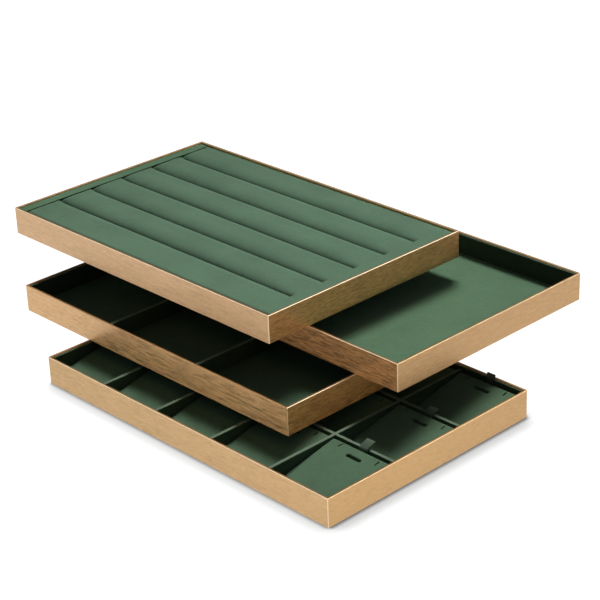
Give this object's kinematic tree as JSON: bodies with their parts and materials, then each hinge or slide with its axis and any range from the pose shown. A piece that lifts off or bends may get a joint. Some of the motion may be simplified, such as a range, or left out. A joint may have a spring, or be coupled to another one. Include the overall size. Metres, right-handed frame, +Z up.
{
  "type": "jewelry tray",
  "caption": "Fanned stack of brushed-metal jewelry trays lined in green microfibre: slotted ring tray, open tray, divided bangle tray and pendant tray with lift-up flaps.",
  "frame": {"origin": "centre of the bottom (pendant) tray's underside, where the set stands", "axes": "+X along the long sides of the trays, to the right seen from the front; +Y along the short sides, to the back; +Z up"},
  "size_m": [0.4542, 0.3289, 0.094],
  "materials": {
    "rail_metal": "satin, brushed lengthwise, champagne gold anodised",
    "gusset_steel": "brushed",
    "board": "raw fibreboard",
    "felt": "pressed felt",
    "microfibre": "short-pile microfibre suede",
    "ribbon": "woven ribbon",
    "support_card": "plain"
  },
  "bodies": {
    "pendant_tray": {"pendant_back_rail": "rail_metal", "pendant_base_board": "board", "pendant_base_felt": "felt", "pendant_corner_gussets": "gusset_steel", "pendant_cross_dividers": "microfibre", "pendant_flap_supports": "support_card", "pendant_flaps_covered": "microfibre", "pendant_front_rail": "rail_metal", "pendant_left_rail": "rail_metal", "pendant_long_divider_back": "microfibre", "pendant_long_divider_front": "microfibre", "pendant_right_rail": "rail_metal", "pendant_tabs_covered": "ribbon", "pendant_wall_lining": "microfibre"},
    "bangle_tray": {"bangle_back_rail": "rail_metal", "bangle_base_board": "board", "bangle_base_felt": "felt", "bangle_corner_gussets": "gusset_steel", "bangle_cross_divider_left": "microfibre", "bangle_cross_divider_right": "microfibre", "bangle_floor_pad": "microfibre", "bangle_front_rail": "rail_metal", "bangle_left_rail": "rail_metal", "bangle_long_divider": "microfibre", "bangle_right_rail": "rail_metal", "bangle_wall_lining": "microfibre"},
    "flat_tray": {"flat_back_rail": "rail_metal", "flat_base_board": "board", "flat_base_felt": "felt", "flat_corner_gussets": "gusset_steel", "flat_floor_pad": "microfibre", "flat_front_rail": "rail_metal", "flat_left_rail": "rail_metal", "flat_right_rail": "rail_metal", "flat_wall_lining": "microfibre"},
    "ring_tray": {"ring_back_rail": "rail_metal", "ring_base_board": "board", "ring_base_felt": "felt", "ring_corner_gussets": "gusset_steel", "ring_end_bar": "microfibre", "ring_filler_strip": "microfibre", "ring_front_rail": "rail_metal", "ring_insert_board": "board", "ring_left_rail": "rail_metal", "ring_right_rail": "rail_metal", "ring_roll_1": "microfibre", "ring_roll_2": "microfibre", "ring_roll_3": "microfibre", "ring_roll_4": "microfibre", "ring_roll_5": "microfibre", "ring_roll_6": "microfibre", "ring_wall_lining": "microfibre"},
    "flap_front": {"pendant_flap_front": "microfibre", "pendant_tab_front": "ribbon"},
    "flap_middle": {"pendant_flap_middle": "microfibre", "pendant_tab_middle": "ribbon"},
    "flap_back": {"pendant_flap_back": "microfibre", "pendant_tab_back": "ribbon"}
  },
  "joints": [
    {"name": "bangle_tray_lift", "type": "slide", "parent": "pendant_tray", "child": "bangle_tray", "axis": [0, 0, 1], "range_m": [0, 0.12]},
    {"name": "flat_tray_lift", "type": "slide", "parent": "bangle_tray", "child": "flat_tray", "axis": [0, 0, 1], "range_m": [0, 0.12]},
    {"name": "ring_tray_lift", "type": "slide", "parent": "flat_tray", "child": "ring_tray", "axis": [0, 0, 1], "range_m": [0, 0.12]},
    {"name": "flap_front_hinge", "type": "hinge", "parent": "pendant_tray", "child": "flap_front", "pos_m": [0.12656, -0.1023, 0.0063], "axis": [1, 0, 0], "range_deg": [0, 75]},
    {"name": "flap_middle_hinge", "type": "hinge", "parent": "pendant_tray", "child": "flap_middle", "pos_m": [0.12656, -0.03183, 0.0063], "axis": [1, 0, 0], "range_deg": [0, 25]},
    {"name": "flap_back_hinge", "type": "hinge", "parent": "pendant_tray", "child": "flap_back", "pos_m": [0.12656, 0.03863, 0.0063], "axis": [1, 0, 0], "range_deg": [0, 25]}
  ]
}
